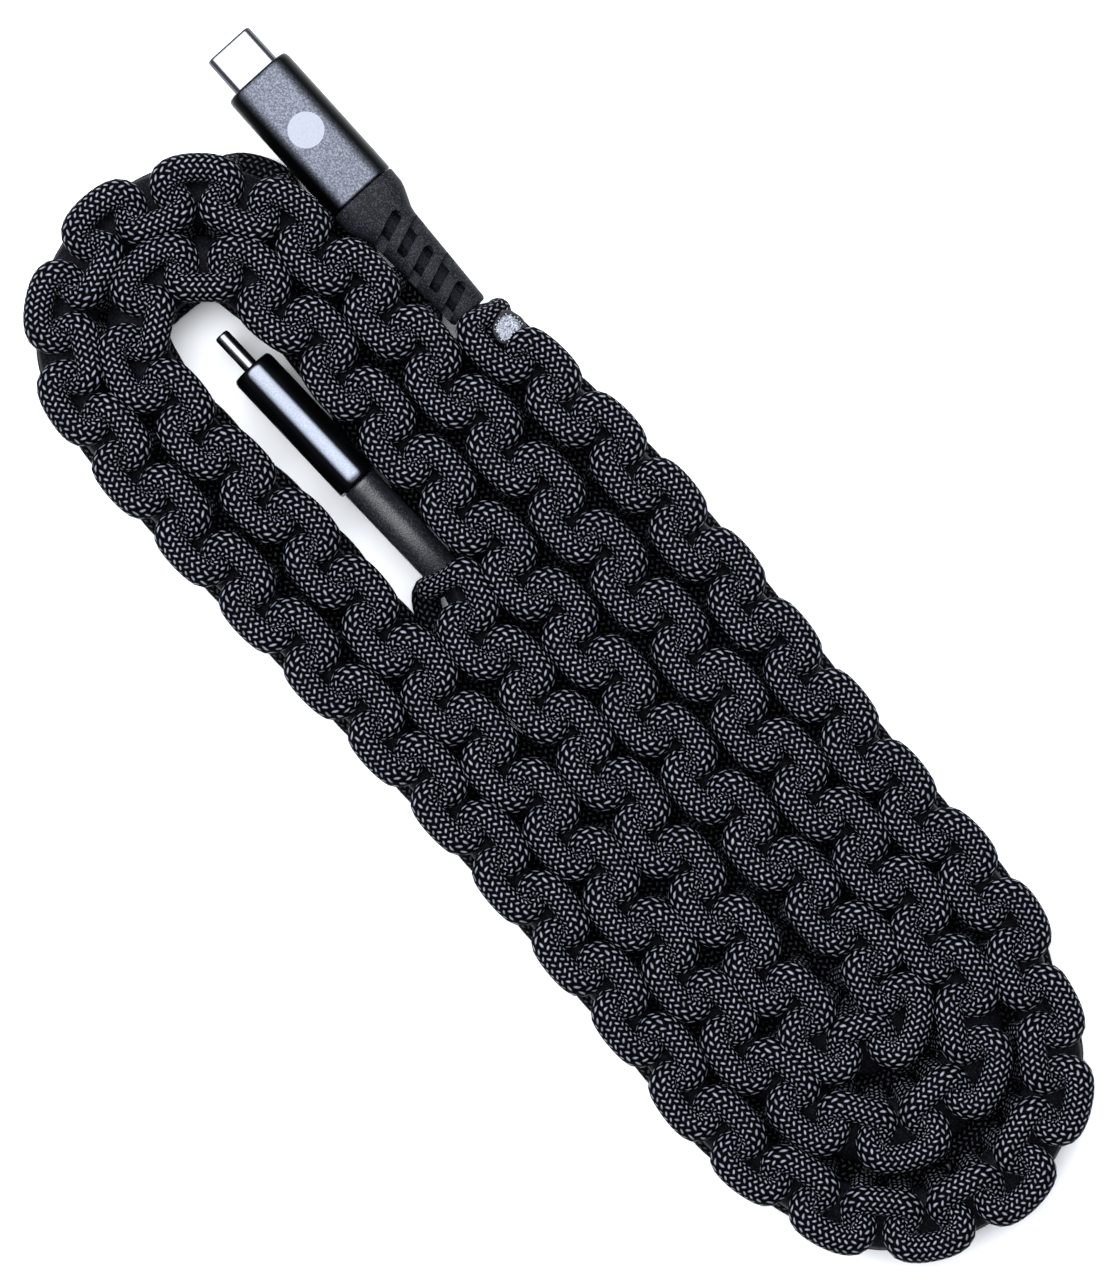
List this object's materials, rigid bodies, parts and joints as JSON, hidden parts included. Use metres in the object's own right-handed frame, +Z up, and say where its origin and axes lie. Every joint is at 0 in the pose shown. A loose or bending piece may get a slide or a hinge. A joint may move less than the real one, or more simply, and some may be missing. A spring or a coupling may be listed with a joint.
{
  "type": "charging cable",
  "caption": "Phone charging cable with a knotted paracord cover, wound flat into a long hank, and a small oval plug with a strain relief at each end.",
  "frame": {"origin": "centre of the bounding box on the surface that the hank lies on", "axes": "+X along the hank, away from the plugs' tips; +Y across it, from the inner runs to the run with plug A; +Z up"},
  "size_m": [0.2084, 0.0675, 0.0176],
  "materials": {
    "paracord": "matt braided nylon sheath with small light flecks",
    "black_rubber": "fine-grained matt",
    "black_metal": "bead-blasted, black anodised",
    "steel": "satin stainless steel",
    "contact_gold": "gold plated",
    "black_moulding": "moulded",
    "white_moulding": "moulded",
    "board_green": "solder mask",
    "ceramic_tan": "sintered",
    "red_insulation": "extruded",
    "green_insulation": "extruded",
    "black_insulation": "extruded",
    "white_insulation": "extruded",
    "blue_insulation": "extruded",
    "white_print": "pad print"
  },
  "bodies": {
    "cord": {"paracord_cover": "paracord", "cable_jacket": "black_rubber", "power_wire": "red_insulation", "data_plus_wire": "green_insulation", "ground_wire": "black_insulation", "data_minus_wire": "white_insulation", "sensing_wire": "blue_insulation"},
    "plug_a": {"plug_a_shell": "steel", "plug_a_insulator": "black_moulding", "plug_a_power_contacts": "contact_gold", "plug_a_ground_contacts": "contact_gold", "plug_a_sensing_contact": "contact_gold", "plug_a_data_plus_contact": "contact_gold", "plug_a_data_minus_contact": "contact_gold", "plug_a_board": "board_green", "plug_a_controller_chip": "black_moulding", "plug_a_capacitor": "ceramic_tan", "plug_a_shield_can": "steel", "plug_a_inner_mould": "white_moulding", "plug_a_housing": "black_metal", "plug_a_boot": "black_rubber", "plug_a_crimp_ring": "steel", "plug_a_jacket_end": "black_rubber", "plug_a_power_wire_end": "red_insulation", "plug_a_data_plus_wire_end": "green_insulation", "plug_a_ground_wire_end": "black_insulation", "plug_a_data_minus_wire_end": "white_insulation", "plug_a_sensing_wire_end": "blue_insulation", "plug_a_mark": "white_print"},
    "plug_a_left_latch": {"plug_a_left_latch": "steel"},
    "plug_a_right_latch": {"plug_a_right_latch": "steel"},
    "plug_b": {"plug_b_shell": "steel", "plug_b_insulator": "black_moulding", "plug_b_power_contacts": "contact_gold", "plug_b_ground_contacts": "contact_gold", "plug_b_sensing_contact": "contact_gold", "plug_b_data_plus_contact": "contact_gold", "plug_b_data_minus_contact": "contact_gold", "plug_b_board": "board_green", "plug_b_controller_chip": "black_moulding", "plug_b_capacitor": "ceramic_tan", "plug_b_shield_can": "steel", "plug_b_inner_mould": "white_moulding", "plug_b_housing": "black_metal", "plug_b_boot": "black_rubber", "plug_b_crimp_ring": "steel", "plug_b_jacket_end": "black_rubber", "plug_b_power_wire_end": "red_insulation", "plug_b_data_plus_wire_end": "green_insulation", "plug_b_ground_wire_end": "black_insulation", "plug_b_data_minus_wire_end": "white_insulation", "plug_b_sensing_wire_end": "blue_insulation"},
    "plug_b_left_latch": {"plug_b_left_latch": "steel"},
    "plug_b_right_latch": {"plug_b_right_latch": "steel"}
  },
  "joints": [
    {"name": "plug_a_swing", "type": "hinge", "parent": "cord", "child": "plug_a", "pos_m": [-0.0498, 0.0271, 0.0088], "axis": [0, 0, -1], "range_deg": [0, 40], "stiffness_Nm_per_rad": 0.03},
    {"name": "plug_b_lift", "type": "hinge", "parent": "cord", "child": "plug_b", "pos_m": [-0.0223, -0.0026, 0.0088], "axis": [0, 1, 0], "range_deg": [0, 40], "stiffness_Nm_per_rad": 0.03},
    {"name": "plug_a_left_latch_flex", "type": "hinge", "parent": "plug_a", "child": "plug_a_left_latch", "pos_m": [-0.09728, 0.03114, 0.0088], "axis": [0, 0, -1], "range_deg": [0, 3], "stiffness_Nm_per_rad": 0.002},
    {"name": "plug_a_right_latch_flex", "type": "hinge", "parent": "plug_a", "child": "plug_a_right_latch", "pos_m": [-0.0974, 0.02489, 0.0088], "axis": [0, 0, 1], "range_deg": [0, 3], "stiffness_Nm_per_rad": 0.002},
    {"name": "plug_b_left_latch_flex", "type": "hinge", "parent": "plug_b", "child": "plug_b_left_latch", "pos_m": [-0.06585, -0.0026, 0.01192], "axis": [0, 1, 0], "range_deg": [0, 3], "stiffness_Nm_per_rad": 0.002},
    {"name": "plug_b_right_latch_flex", "type": "hinge", "parent": "plug_b", "child": "plug_b_right_latch", "pos_m": [-0.06585, -0.0026, 0.00568], "axis": [0, -1, 0], "range_deg": [0, 3], "stiffness_Nm_per_rad": 0.002}
  ]
}
